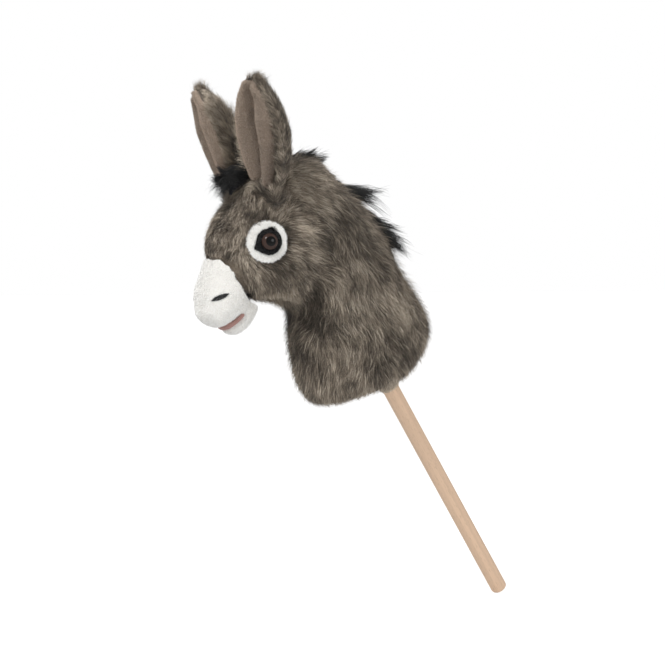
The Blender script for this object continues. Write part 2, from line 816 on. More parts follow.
def calculation(nodes, links, operation, first, second):
    """A Math node; first and second are sockets or plain values."""
    node = nodes.new("ShaderNodeMath")
    node.operation = operation
    for index, value in enumerate((first, second)):
        if isinstance(value, bpy.types.NodeSocket):
            links.new(value, node.inputs[index])
        else:
            node.inputs[index].default_value = value
    return node.outputs[0]


def shared_group(nodes, name, make):
    """The node of a shader group that more than one material takes."""
    group = nodes.new("ShaderNodeGroup")
    group.node_tree = bpy.data.node_groups.get(name) or make()
    return group


def relief(nodes, links, shader, height, strength, distance):
    """Bump on a shader, from a height."""
    bump = nodes.new("ShaderNodeBump")
    bump.inputs["Strength"].default_value = strength
    bump.inputs["Distance"].default_value = distance
    links.new(height, bump.inputs["Height"])
    links.new(bump.outputs[0], shader.inputs["Normal"])


def group_with(name, inputs, outputs):
    """An empty shader group with named sockets."""
    tree = bpy.data.node_groups.new(name, "ShaderNodeTree")
    for socket, kind, value in inputs:
        made = tree.interface.new_socket(socket, in_out="INPUT", socket_type=kind)
        if value is not None:
            made.default_value = value
    for socket, kind in outputs:
        tree.interface.new_socket(socket, in_out="OUTPUT", socket_type=kind)
    return tree, tree.nodes.new("NodeGroupInput"), tree.nodes.new("NodeGroupOutput")


def pile_group():
    """Colour of a strand from its tint and from how far up it is."""
    tree, given, out = group_with(
        "pile_colour",
        [
            ("Map", "NodeSocketVector", None),
            ("Dark", "NodeSocketColor", (0, 0, 0, 1)),
            ("Middle", "NodeSocketColor", (0.2, 0.2, 0.2, 1)),
            ("Light", "NodeSocketColor", (0.5, 0.5, 0.5, 1)),
            ("Root shade", "NodeSocketFloat", 0.5),
        ],
        [("Color", "NodeSocketColor")],
    )
    nodes, links = tree.nodes, tree.links
    split = nodes.new("ShaderNodeSeparateXYZ")
    links.new(given.outputs["Map"], split.inputs[0])
    lower = nodes.new("ShaderNodeMapRange")
    lower.inputs["From Max"].default_value = 0.5
    links.new(split.outputs["X"], lower.inputs["Value"])
    upper = nodes.new("ShaderNodeMapRange")
    upper.inputs["From Min"].default_value = 0.5
    links.new(split.outputs["X"], upper.inputs["Value"])
    first = mix_colours(nodes, links, lower.outputs[0], given.outputs["Dark"], given.outputs["Middle"])
    second = mix_colours(nodes, links, upper.outputs[0], first, given.outputs["Light"])
    rise = nodes.new("ShaderNodeMapRange")
    rise.inputs["From Max"].default_value = 0.75
    links.new(split.outputs["Y"], rise.inputs["Value"])
    links.new(given.outputs["Root shade"], rise.inputs["To Min"])
    shade = nodes.new("ShaderNodeVectorMath")
    shade.operation = "SCALE"
    links.new(second, shade.inputs[0])
    links.new(rise.outputs[0], shade.inputs["Scale"])
    links.new(shade.outputs[0], out.inputs["Color"])
    return tree


def mix_colours(nodes, links, factor, first, second, blend="MIX"):
    """A Mix node for colours; factor, first and second are sockets or plain values."""
    mix = nodes.new("ShaderNodeMix")
    mix.data_type = "RGBA"
    mix.blend_type = blend
    for index, value in ((0, factor), (6, first), (7, second)):
        if isinstance(value, bpy.types.NodeSocket):
            links.new(value, mix.inputs[index])
        else:
            mix.inputs[index].default_value = value
    return mix.outputs[2]


def toned(colour, factor):
    """A darker or paler tone of a colour."""
    return [min(1, channel * factor) for channel in colour]


def opaque(colour, factor=1.0):
    """A tone of a colour, as a shader's socket takes it."""
    return (*toned(colour, factor), 1.0)


def pile_material(name, dark, middle, light, root_shade, roughness=0.65, sheen=0.15, specular=0.3):
    """Pile that goes from dark to light with a strand's tint, and is shaded towards its root."""
    made, nodes, links, shader = new_material(name, roughness, sheen, specular)
    uv = nodes.new("ShaderNodeUVMap")
    uv.uv_map = BAKE_MAP
    group = shared_group(nodes, "pile_colour", pile_group)
    links.new(uv.outputs[0], group.inputs["Map"])
    group.inputs["Dark"].default_value = opaque(dark)
    group.inputs["Middle"].default_value = opaque(middle)
    group.inputs["Light"].default_value = opaque(light)
    group.inputs["Root shade"].default_value = root_shade
    links.new(group.outputs["Color"], shader.inputs["Base Color"])
    return made


def nap_group():
    """Mottled colour and bump of a short nap, felt or knitted backing."""
    tree, given, out = group_with(
        "nap",
        [
            ("Colour", "NodeSocketColor", (0.5, 0.5, 0.5, 1)),
            ("Mottle", "NodeSocketFloat", 0.2),
            ("Patch size", "NodeSocketFloat", 0.012),
            ("Fibre size", "NodeSocketFloat", 0.0008),
        ],
        [("Color", "NodeSocketColor"), ("Height", "NodeSocketFloat")],
    )
    nodes, links = tree.nodes, tree.links
    place = nodes.new("ShaderNodeTexCoord")
    noises = []
    for size in ("Patch size", "Fibre size"):
        noise = nodes.new("ShaderNodeTexNoise")
        noise.inputs["Detail"].default_value = 3.0
        links.new(place.outputs["Object"], noise.inputs["Vector"])
        links.new(calculation(nodes, links, "DIVIDE", 1.0, given.outputs[size]), noise.inputs["Scale"])
        noises.append(noise.outputs["Fac"])
    spread = nodes.new("ShaderNodeMapRange")
    spread.inputs["From Min"].default_value = 0.7
    spread.inputs["From Max"].default_value = 1.3
    links.new(calculation(nodes, links, "ADD", *noises), spread.inputs["Value"])
    for operation, end in (("SUBTRACT", "To Min"), ("ADD", "To Max")):
        links.new(calculation(nodes, links, operation, 1.0, given.outputs["Mottle"]), spread.inputs[end])
    shade = nodes.new("ShaderNodeVectorMath")
    shade.operation = "SCALE"
    links.new(given.outputs["Colour"], shade.inputs[0])
    links.new(spread.outputs[0], shade.inputs["Scale"])
    links.new(shade.outputs[0], out.inputs["Color"])
    links.new(noises[1], out.inputs["Height"])
    return tree


def nap_material(
    name, colour, mottle=0.15, patch=0.012, fibre=0.0008, bump=0.4, roughness=0.9, sheen=0.2, specular=0.2
):
    """Short nap, felt or knitted backing; patch and fibre are sizes in metres."""
    made, nodes, links, shader = new_material(name, roughness, sheen, specular)
    group = shared_group(nodes, "nap", nap_group)
    group.inputs["Colour"].default_value = opaque(colour)
    group.inputs["Mottle"].default_value = mottle
    group.inputs["Patch size"].default_value = patch
    group.inputs["Fibre size"].default_value = fibre
    links.new(group.outputs["Color"], shader.inputs["Base Color"])
    relief(nodes, links, shader, group.outputs["Height"], bump, fibre)
    return made


def turned_coordinates(nodes, links, origin, rotation):
    """Object coordinates as they are seen from a piece's own frame."""
    place = nodes.new("ShaderNodeTexCoord")
    mapping = nodes.new("ShaderNodeMapping")
    mapping.vector_type = "TEXTURE"
    mapping.inputs["Location"].default_value = origin
    mapping.inputs["Rotation"].default_value = rotation
    links.new(place.outputs["Object"], mapping.inputs["Vector"])
    return mapping.outputs[0]


def beech_material(colour):
    """Smooth beech: fine flecks and long faint bands along the pole."""
    made, nodes, links, shader = new_material("beech_wood", 0.5)
    along_pole = turned_coordinates(nodes, links, HEM, (POLE_TILT, 0, 0))

    def stretched_noise(scale, detail):
        stretch = nodes.new("ShaderNodeMapping")
        stretch.inputs["Scale"].default_value = scale
        links.new(along_pole, stretch.inputs["Vector"])
        noise = nodes.new("ShaderNodeTexNoise")
        noise.inputs["Scale"].default_value = 1.0
        noise.inputs["Detail"].default_value = detail
        links.new(stretch.outputs[0], noise.inputs["Vector"])
        return noise.outputs["Fac"]

    bands = stretched_noise((260, 260, 4), 4.0)
    flecks = stretched_noise((1500, 1500, 130), 1.0)
    tone = mix_colours(nodes, links, bands, opaque(colour, 0.78), opaque(colour, 1.18))
    apart = nodes.new("ShaderNodeMapRange")
    apart.inputs["From Min"].default_value = 0.62
    apart.inputs["From Max"].default_value = 0.7
    links.new(flecks, apart.inputs["Value"])
    share = calculation(nodes, links, "MULTIPLY", apart.outputs[0], 0.45)
    tone = mix_colours(nodes, links, share, tone, opaque(colour, 0.5))
    links.new(tone, shader.inputs["Base Color"])
    relief(nodes, links, shader, bands, 0.15, 0.0003)
    return made


def plastic_material(name, colour, roughness):
    """Moulded plastic, very slightly uneven in tone."""
    made, nodes, links, shader = new_material(name, roughness)
    group = shared_group(nodes, "nap", nap_group)
    group.inputs["Colour"].default_value = opaque(colour)
    group.inputs["Mottle"].default_value = 0.05
    links.new(group.outputs["Color"], shader.inputs["Base Color"])
    return made


def dress_node(node, material):
    """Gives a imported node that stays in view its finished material."""
    slots = NODES[node].data.materials
    slots.clear()
    slots.append(material)


def shared(name, make, *values):
    """A material that more than one piece takes, made when the first asks for it."""
    return bpy.data.materials.get(name) or make(name, *values)


# Neck and head


def fur_material(settings):
    tones = (settings.fur_dark, settings.fur_middle, settings.fur_light)
    return shared("long_pile", pile_material, *tones, 0.34)


def backing_material(settings):
    return shared("pile_backing", nap_material, toned(settings.fur_middle, 0.8), 0.35, 0.02, 0.002, 0.8)


def backing(node, name, replaced, material):
    """The cloth that the pile of a stuffed body is rooted in."""
    bm = node_bmesh(node)
    points = places_of(bm)
    _, length, _ = combed(points)
    push_out(bm, STUFFING_INSET * MM - PILE_DEPTH * length - MM * spots(points, INSETS))
    piece = new_piece(name, bm, material)
    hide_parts(*replaced)


def eye_place(side):
    return toy_place(SIDES[side] * EYE_PLACE.x, EYE_PLACE.y, EYE_PLACE.z)


def clear_of_face(points, _):
    """Points that are far enough from the eyes, the muzzle and the forelock for long pile."""
    clear = away_from(toy_place(*FORELOCK_PLACE), points) >= FORELOCK_CLEARING
    for side in SIDES:
        clear &= away_from(eye_place(side), points) >= EYE_CLEARING
    muzzle_skin = tree_of("muzzle_cover")
    clearing = MUZZLE_CLEARING + LAP_CLEARING * ramp(from_hem(points)[:, 2], *LAP_FROM)
    for i, (point, reach) in enumerate(zip(points, clearing * MM)):
        clear[i] &= muzzle_skin.find_nearest(Vector(point), reach)[0] is None
    return clear


def tints(points, nearest, rng, seed, middle, stray):
    """Tint of each strand: broad patches, smaller ones, then locks, then single strands."""
    patches = swirl(points, 0.016, seed, 0.46)[:, 0] + swirl(points, 0.005, seed + 1, 0.36)[:, 0]
    locks = rng.normal(0, stray, len(points))[nearest]
    return middle + patches + locks + rng.normal(0, stray, len(points))


def spots(points, table):
    """Sum, at each point, of the soft round spots in a table; the toy's two sides are alike."""
    local = from_hem(points)
    local[:, 0] = np.abs(local[:, 0])
    total = np.zeros(len(points))
    for place, reach, amount in table:
        distance = np.linalg.norm(local - np.array(place), axis=1)
        total += amount * np.exp(-((distance / reach) ** 2))
    return total


def fur(settings, rng):
    """The long pile of the head and neck: an undercoat and locks over it, in pieces by part and side."""
    covers = ("neck_cover", "neck_stuffing", "head_cover", "head_stuffing")
    skin = softened(node_bmesh(*covers), SKIN_VOXEL, SKIN_PASSES, 0)
    push_out(skin, -MM * spots(places_of(skin), INSETS))
    smooth(skin, 2)
    above = tree_of(*[node for node in NODES if node not in (*covers, "mane", "forelock")])
    head, neck = tree_of("head_cover"), tree_of("neck_cover")
    for coat, look in COATS.items():
        density = look["density"] * settings.pile_density
        points, normals = sample_outside(skin.copy(), density, rng, above, clear_of_face)
        flow, length, lift = combed(points)
        flow = unit(flow + swirl(points, 0.02, 5, 1.0) + rng.normal(0, 0.19, points.shape))
        length = length * look["length"] * rng.uniform(0.6, 1.25, len(points))
        lift = lift * look["lift"] * rng.uniform(0.55, 1.35, len(points))
        loose = rng.random(len(points)) < FLYAWAY_SHARE
        lift[loose] *= FLYAWAY_LIFT
        bend = 1.1 * swirl(points, 0.009, 9, 1.0)[:, 0] + rng.normal(0, 0.22, len(points))
        roots = points - normals * (PILE_DEPTH * length)[:, None]
        lines = strand_lines(roots, normals, flow, length, lift, 0.25, look["parts"], bend)
        lines, nearest = gather(lines, flow, rng, LOCK_SPACING, density, look["pull"], loose)
        tint = tints(points, nearest, rng, 11, look["tint"], look["stray"]) + spots(points, TONES)
        width = settings.strand_width * look["width"] * rng.uniform(0.6, 1.3, len(points))
        to_head = np.array([head.find_nearest(Vector(point))[3] for point in points])
        to_neck = np.array([neck.find_nearest(Vector(point))[3] for point in points])
        parts = {"neck": to_neck <= to_head, "head": to_neck > to_head}
        for part, here in parts.items():
            for side, sign in SIDES.items():
                half = here & (points[:, 0] * sign >= 0)
                grown = (lines[half], normals[half], width[half], tint[half])
                strands(f"{part}_{coat}_{side}", *grown, rng, fur_material(settings), "horse", "fur")
    skin.free()


class HOBBYHORSE_OT_fur(bpy.types.Operator):
    """Grow the long pile of the neck and head on its backing"""

    bl_idname = "hobbyhorse.fur"
    bl_label = "Neck and head fur"

    def execute(self, context):
        settings = context.scene.hobby_horse
        material = backing_material(settings)
        backing("neck_stuffing", "neck_backing", ("neck_cover", "neck_stuffing"), material)
        backing("head_stuffing", "head_backing", ("head_cover", "head_stuffing"), material)
        fur(settings, np.random.default_rng(21))
        return {"FINISHED"}


# Ears


def ear_frame(side):
    """The frame of an ear's leaf: Z up the ear, -Y out of its opening."""
    sign = SIDES[side]
    lean = Matrix.Rotation(EAR_LEAN_FORWARD, 3, "X") @ Matrix.Rotation(sign * EAR_LEAN_OUT, 3, "Y")
    turned = lean @ Matrix.Rotation(sign * EAR_OPENING_OUT[side], 3, "Z")
    pivot = Vector(JOINTS[f"ear_{side}_flex"]["pos_m"])
    return Matrix.Translation(pivot) @ turned.to_4x4()


def in_ear(side, points):
    """Points in the frame of an ear's leaf, in millimetres, its X away from the other ear."""
    place = np.array(ear_frame(side))
    local = (points - place[:3, 3]) @ place[:3, :3] / MM
    return local * np.array([SIDES[side], 1, 1])


def ear_directions(side):
    """The ways outwards, backwards and up for an ear's leaf."""
    place = np.array(ear_frame(side))
    return place[:3, 0] * SIDES[side], place[:3, 1], place[:3, 2]


def ear_zones(side, points, normals, rng):
    """How far each strand of an ear is in each zone of its combing; edges are in mm across it and up it."""
    across, _, height = in_ear(side, points).T
    inner, outer = ramp(across, -2, -14), ramp(across, 4, 16)
    foot, tip = ramp(height, 45, 10), ramp(height, 98, 118)
    front = ramp(normals @ ear_directions(side)[1], 0, -0.5)
    over_lining = front * outer * ramp(height, 132, 107)
    outwards = (rng.random(len(points)) < OUTWARDS_SHARE) * foot * outer
    return {
        "all": np.ones(len(points)),
        "wisps": inner * ramp(height, WISPS_TOP[side], WISPS_TOP[side] - WISPS_FADE),
        "heel": inner * ramp(height, 22, 6),
        "front of tip": front * tip,
        "outside of tip": tip * (1 - inner),
        "inside of tip": tip * inner,
        "front": front * (1 - foot) * (1 - over_lining),
        "over lining": over_lining,
        "inwards": over_lining * (1 - outwards),
        "outwards": outwards,
        "root": ramp(height, 15, -5),
    }


def ear_fur(side, settings, rng, tree, pad):
    """Long pile up the back of an ear, paler and looser along its inner edge and closing over the lining."""
    outward, behind, upward = ear_directions(side)

    def front_rim(points, normals):
        across, depth, height = in_ear(side, points).T
        inner_edge = (across < -24) & (depth < 14)
        outer_edge = (across > 6) & (normals @ behind < -0.1)
        return (inner_edge | outer_edge) & (height > 15)

    for coat, look in {**COATS, "rim": RIM_COAT}.items():
        density = look["density"] * settings.pile_density * EAR_DENSITY
        keep = front_rim if coat == "rim" else None
        points, normals = sample_outside(node_bmesh(f"ear_cover_{side}"), density, rng, tree, keep, 1)
        clear = uncovered(points, normals, pad)
        points, normals = points[clear], normals[clear]
        zones = ear_zones(side, points, normals, rng)
        combing = sum(zones[zone][:, None] * np.array(row) for zone, row in EAR_COMBING.items())
        flow = combing[:, 2:3] * upward + combing[:, 1:2] * behind + combing[:, 0:1] * outward
        flow = unit(flow + rng.normal(0, 0.2, points.shape) + swirl(points, 0.02, 8, 0.6))
        length = combing[:, 3] * MM * look["length"] * rng.uniform(0.55, 1.25, len(points))
        lift = EAR_LIFT * combing[:, 4] * look["lift"] * rng.uniform(0.55, 1.4, len(points))
        bend = swirl(points, 0.009, 6, 1.0)[:, 0] + rng.normal(0, 0.22, len(points))
        roots = points - normals * (EAR_DEPTH * length)[:, None]
        lines = strand_lines(roots, normals, flow, length, lift, 0.0, look["parts"], bend)
        lines, nearest = gather(lines, flow, rng, LOCK_SPACING * EAR_LOCKS, density, look["pull"])
        tint = tints(points, nearest, rng, 12, look["tint"], look["stray"])
        tint += combing[:, 5] + WISPS_TINT[side] * zones["wisps"]
        width = settings.strand_width * look["width"] * rng.uniform(0.5, 1.1, len(points))
        grown = (lines, normals, width, tint)
        strands(f"ear_{side}_{coat}", *grown, rng, fur_material(settings), f"ear_{side}", "fur")


def ear_backing(side, settings):
    """The cloth that the pile of an ear is rooted in."""
    bm = node_bmesh(f"ear_cover_{side}")
    for vertex in bm.verts:
        vertex.co -= vertex.normal * EAR_BACKING_DEPTH * MM
    piece = new_piece(f"ear_backing_{side}", bm, backing_material(settings), f"ear_{side}")
    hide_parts(f"ear_cover_{side}")


def across_lining(shape, side):
    """A function that gives how far across a lining points are, from -1 to 1, and half its width there."""
    local = in_ear(side, places_of(shape))
    levels = np.linspace(local[:, 2].min() + 2, local[:, 2].max() - 2, 20)
    rows = [local[np.abs(local[:, 2] - level) < 4, 0] for level in levels]
    lows = [row.min() for row in rows]
    highs = [row.max() for row in rows]

    def place(points):
        spot = in_ear(side, points)
        low = np.interp(spot[:, 2], levels, lows)
        half = np.maximum(np.interp(spot[:, 2], levels, highs) - low, 1) / 2
        return (spot[:, 0] - low) / half - 1, half, spot[:, 2]

    return place


def fold_at(height):
    """Where across the lining its sewn fold runs at a height, and how much of it there is."""
    return np.interp(height, *FOLD_LINE), ramp(height, FOLD_TOP, FOLD_TOP - FOLD_FADE)


def lobed(shape, side, place):
    """Rounds the front of a lining into two lobes beside the groove of its sewn fold."""
    outward, behind, upward = ear_directions(side)
    across, half, height = place(places_of(shape))
    facing = np.clip(np.array([vertex.normal for vertex in shape.verts]) @ -behind * 1.6, 0, 1)
    fold, started = fold_at(height)
    span = np.where(across < fold, fold + 1, 1 - fold)
    middle = np.where(across < fold, (fold - 1) / 2, (fold + 1) / 2)
    bulge = np.sqrt(np.clip(1 - ((across - middle) / span * 2) ** 2, 0, 1))
    groove = np.exp(-(((across - fold) * half / GROOVE_HALF_WIDTH) ** 2)) * started
    rise = LOBE_RISE * (bulge - 0.2) * started - GROOVE_DEPTH * groove
    squeeze = np.interp(height, *LINING_SQUEEZE) * np.clip(across, 0, 1)
    lift = LINING_LIFT * (1 + np.clip(0.3 - across, 0, 1)) * ramp(height, *LINING_LIFTED)
    move = -behind * (rise * facing)[:, None] - outward * squeeze[:, None] + upward * lift[:, None]
    for vertex, step in zip(shape.verts, move * MM):
        vertex.co += Vector(step)
    smooth(shape, 2)


def ear_lining(side, settings, rng):
    """The velour pad in the ear: two stuffed lobes beside a sewn fold."""

    def along_fold(points):
        across, _, height = in_ear(side, points).T
        below_top = ramp(height, LINING_TOP, LINING_TOP - FOLD_FADE)
        return np.exp(-((across / GROOVE_HALF_WIDTH) ** 2)) * below_top

    node = f"ear_lining_{side}"
    shape = blown_up(node_bmesh(node), LINING_VOXEL, LINING_DRAWN_IN, along_fold, FOLD_DIMPLE)
    place = across_lining(shape, side)
    lobed(shape, side, place)

    def shaded(points):
        across, half, height = place(points)
        fold, started = fold_at(height)
        gap = (across - fold) * half / np.where(across < fold, VALLEY_WIDTH, VALLEY_EDGE)
        valley = VALLEY_SHADE * np.exp(-(gap**2)) * started
        rim = RIM_SHADE * ramp(across, -0.4, -0.8)
        return LINING_TINT + rim - LOBE_SHADE * (across > fold) - valley

    tones = (toned(settings.velour, 0.3), settings.velour, toned(settings.velour, 1.65))
    pile = shared("velour_pile", pile_material, *tones, 0.8)
    short_pile(
        f"ear_velour_{side}",
        shape.copy(),
        rng,
        tree_of(f"ear_cover_{side}"),
        pile,
        f"ear_{side}",
        "ear_velour",
        density=2.2,
        length=0.0032,
        lift=48,
        tint=shaded,
        flow=(0, 0, 1),
        stray=0.14,
    )
    velour = shared("velour", nap_material, toned(settings.velour, 0.7), 0.12, 0.01, 0.0007, 0.5)
    skin = BVHTree.FromBMesh(shape)
    stuffed_piece(f"ear_pad_{side}", shape, velour, f"ear_{side}", [node])
    return skin


class HOBBYHORSE_OT_ears(bpy.types.Operator):
    """Grow the pile of the ears and line them with velour"""

    bl_idname = "hobbyhorse.ears"
    bl_label = "Ears"

    def execute(self, context):
        settings = context.scene.hobby_horse
        rng = np.random.default_rng(31)
        for side in SIDES:
            others = tree_of(*[node for node in NODES if node != f"ear_lining_{side}"])
            ear_backing(side, settings)
            pad = ear_lining(side, settings, rng)
            ear_fur(side, settings, rng, others, pad)
        return {"FINISHED"}


# Muzzle


def white_pile(settings):
    tones = (toned(settings.white, 0.93), settings.white, toned(settings.white, 1.06))
    return shared("white_pile", pile_material, *tones, 0.96)


def white_plush(settings):
    return shared("white_plush", nap_material, settings.white, 0.03, 0.02, 0.0012, 0.4)


def near_nostrils(points):
    """How near each point is to a nostril's stitches, from 0 to 1."""
    near = np.zeros(len(points))
    for side in SIDES:
        low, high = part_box(f"nostril_{side}")
        middle = (np.array(low) + np.array(high)) / 2
        reach = np.linalg.norm(points - middle, axis=1)
        near = np.maximum(near, np.exp(-((reach / NOSTRIL_REACH) ** 2)))
    return near


def beside(node, points, reach):
    """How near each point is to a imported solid, from 1 beside it to 0 at a reach away."""
    tree = tree_of(node)
    distance = np.array([tree.find_nearest(Vector(point))[3] for point in points])
    return np.clip(1.6 * (1 - distance / reach), 0, 1)


def toward_chin(points):
    """0 where the mouth starts to widen forwards, rising to 1 where it is widest."""
    return ramp(from_hem(points)[:, 1], *MOUTH_WIDENS)


def round_corner(shape, place, passes):
    """Wears one corner of a shape round."""
    smooth(shape, passes, [vertex for vertex in shape.verts if (vertex.co - place).length < CORNER_REACH])


def lap_over_head(shape):
    """Draws the muzzle's top edge up over the head's pile."""
    head = tree_of("head_cover")
    for vertex in shape.verts:
        _, y, z = (vertex.co - HEM) / MM
        share = ramp(z, *LAP_FROM) * ramp(y, *LAP_FRONT)
        spot, outward, _, _ = head.find_nearest(vertex.co)
        if share == 0 or (vertex.co - spot).dot(outward) < -LAP_UNDER:
            continue
        goal = vertex.co + Vector((0, 0, LAP_RISE * share))
        spot, outward, _, _ = head.find_nearest(goal)
        if (goal - spot).dot(outward) < LAP_HEIGHT:
            goal = spot + outward * LAP_HEIGHT
        vertex.co = goal
    smooth(shape, 2)


def muzzle(settings, rng):
    """The stuffed muzzle and lower lip, sewn as one with a slit for the mouth, and its short white pile."""
    nodes = ["muzzle_cover", "muzzle_stuffing", "jaw_cover", "jaw_stuffing"]

    def held(points):
        firm = np.maximum(near_nostrils(points), beside("head_cover", points, 0.006))
        return np.maximum(firm, beside("mouth_lining", points, 0.005))

    shape = blown_up(node_bmesh(*nodes), MUZZLE_VOXEL, MUZZLE_DRAWN_IN, held)
    points = places_of(shape)
    slit = beside("mouth_lining", points, SLIT_REACH * (1 + toward_chin(points)))
    push_out(shape, -NOSTRIL_DIMPLE * near_nostrils(points) - SLIT_DEPTH * slit)
    smooth(shape, 3)
    lap_over_head(shape)
    x, y, z = JAW_CORNER
    for sign in SIDES.values():
        round_corner(shape, toy_place(sign * x, y, z), 30)
    round_corner(shape, toy_place(*MUZZLE_TOP), 14)
    skin = BVHTree.FromBMesh(shape)
    short_pile(
        "muzzle_pile",
        shape.copy(),
        rng,
        tree_of(*[node for node in NODES if node not in nodes and "nostril" not in node]),
        white_pile(settings),
        "horse",
        "white_plush",
        density=2.2,
        length=settings.plush_length,
        lift=50,
        tint=0.55,
        flow=(0, -0.2, -1),
        stray=0.1,
    )
    stuffed_piece("muzzle", shape, white_plush(settings), "horse", nodes)
    return skin


def mouth_felt(settings):
    """The felt between the lips, thicker towards the chin."""
    shape = softened(node_bmesh("mouth_lining"), 0.0012, 3, 0.0006)
    push_out(shape, 0.0018 * toward_chin(places_of(shape)) - 0.0006)
    felt = nap_material("mouth_felt", settings.mouth, 0.15)
    piece = new_piece("mouth_felt", shape, felt)
    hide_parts("mouth_lining")


def nostril_stitches(side, skin, settings):
    """Satin stitches laid side by side across the nostril's almond, sunk in the finished plush."""
    points = node_places(f"nostril_{side}")
    middle = points.mean(0)
    _, axes = np.linalg.eigh(np.cov((points - middle).T))
    along = axes[:, 2]
    reach = (points - middle) @ along
    half = (reach.max() - reach.min()) / 2
    middle = middle + along * (reach.max() + reach.min()) / 2
    thread = bmesh.new()
    for i in range(STITCHES):
        share = (i + 0.5) / STITCHES * 2 - 1
        height = NOSTRIL_HALF_WIDTH * (1 - share**2) * (0.9 + 0.1 * (-1) ** i) + 0.0004
        spot, outward, _, _ = skin.find_nearest(Vector(middle + along * half * share))
        run = Vector(along) - outward * outward.dot(Vector(along))
        run.normalize()
        turn = Matrix((run, outward.cross(run), outward)).transposed().to_4x4()
        size = Matrix.Diagonal((half / STITCHES * 1.3, height, STITCH_RISE, 1))
        made = bmesh.ops.create_uvsphere(thread, u_segments=8, v_segments=6, radius=1)
        place = Matrix.Translation(spot + outward * 0.0002) @ turn @ size
        bmesh.ops.transform(thread, matrix=place, verts=made["verts"])
    black = shared("nostril_thread", nap_material, settings.black, 0.3, 0.004, 0.0006, 0.8, 0.6, 0.0)
    piece = new_piece(f"nostril_stitches_{side}", thread, black)
    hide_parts(f"nostril_{side}")


class HOBBYHORSE_OT_muzzle(bpy.types.Operator):
    """Make the plush muzzle with its lower lip, the mouth and the stitched nostrils"""

    bl_idname = "hobbyhorse.muzzle"
    bl_label = "Muzzle"

    def execute(self, context):
        settings = context.scene.hobby_horse
        skin = muzzle(settings, np.random.default_rng(51))
        mouth_felt(settings)
        for side in SIDES:
            nostril_stitches(side, skin, settings)
        return {"FINISHED"}


# Eyes


def eye_axes(side):
    """The frame of an eye: its origin on the shank's axis, its Z out of the head."""
    points = node_places(f"eye_{side}")
    centre = points.mean(0)
    values, vectors = np.linalg.eigh(np.cov((points - centre).T))
    lone = int(np.argmax(np.abs(values - np.median(values))))
    outward = Vector(vectors[:, lone])
    if outward.x * SIDES[side] < 0:
        outward.negate()
    across = Vector((0, 0, 1)).cross(outward).normalized()
    turn = Matrix((across, outward.cross(across), outward)).transposed()
    return Matrix.Translation(Vector(centre)) @ turn.to_4x4()


def eye_material(side, settings):
    """Glossy brown plastic with a round black pupil."""
    made, nodes, links, shader = new_material(f"eye_plastic_{side}", 0.05, specular=0.12)
    axes = eye_axes(side)
    local = turned_coordinates(nodes, links, axes.translation, axes.to_euler())
    flat = nodes.new("ShaderNodeVectorMath")
    flat.operation = "MULTIPLY"
    flat.inputs[1].default_value = (1, 1, 0)
    links.new(local, flat.inputs[0])
    radius = nodes.new("ShaderNodeVectorMath")
    radius.operation = "LENGTH"
    links.new(flat.outputs[0], radius.inputs[0])
    edge = nodes.new("ShaderNodeMapRange")
    edge.inputs["From Min"].default_value = (PUPIL_RADIUS - PUPIL_SOFTNESS) * MM
    edge.inputs["From Max"].default_value = (PUPIL_RADIUS + PUPIL_SOFTNESS) * MM
    links.new(radius.outputs["Value"], edge.inputs["Value"])
    tone = mix_colours(nodes, links, edge.outputs[0], opaque(PUPIL_COLOUR), opaque(settings.iris))
    links.new(tone, shader.inputs["Base Color"])
    return made


def eye_piece(side, settings):
    """The plastic eye turned in one piece with its shank."""
    axes = eye_axes(side)
    outward = np.array(axes)[:3, 2]
    heights = (node_places(f"eye_{side}") - np.array(axes.translation)) @ outward / MM
    top, foot = heights.max(), heights.min()
    seat = top - EYE_RIM - EYE_DOME
    profile = [(0, foot), (EYE_SHANK - EYE_SHANK_EDGE, foot), (EYE_SHANK, foot + EYE_SHANK_EDGE)]
    profile += [(EYE_SHANK, seat), (EYE_RADIUS - EYE_EDGE, seat), (EYE_RADIUS, seat + EYE_EDGE)]
    for i in range(EYE_DOME_STEPS):
        turn = math.pi / 2 * i / EYE_DOME_STEPS
        profile.append((EYE_RADIUS * math.cos(turn), seat + EYE_RIM + EYE_DOME * math.sin(turn)))
    profile.append((0, top))
    turned = turned_shape(profile, 64, axes)
    piece = new_piece(f"eye_button_{side}", turned, eye_material(side, settings))
    piece.data.set_sharp_from_angle(angle=math.radians(50))
    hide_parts(f"eye_{side}")


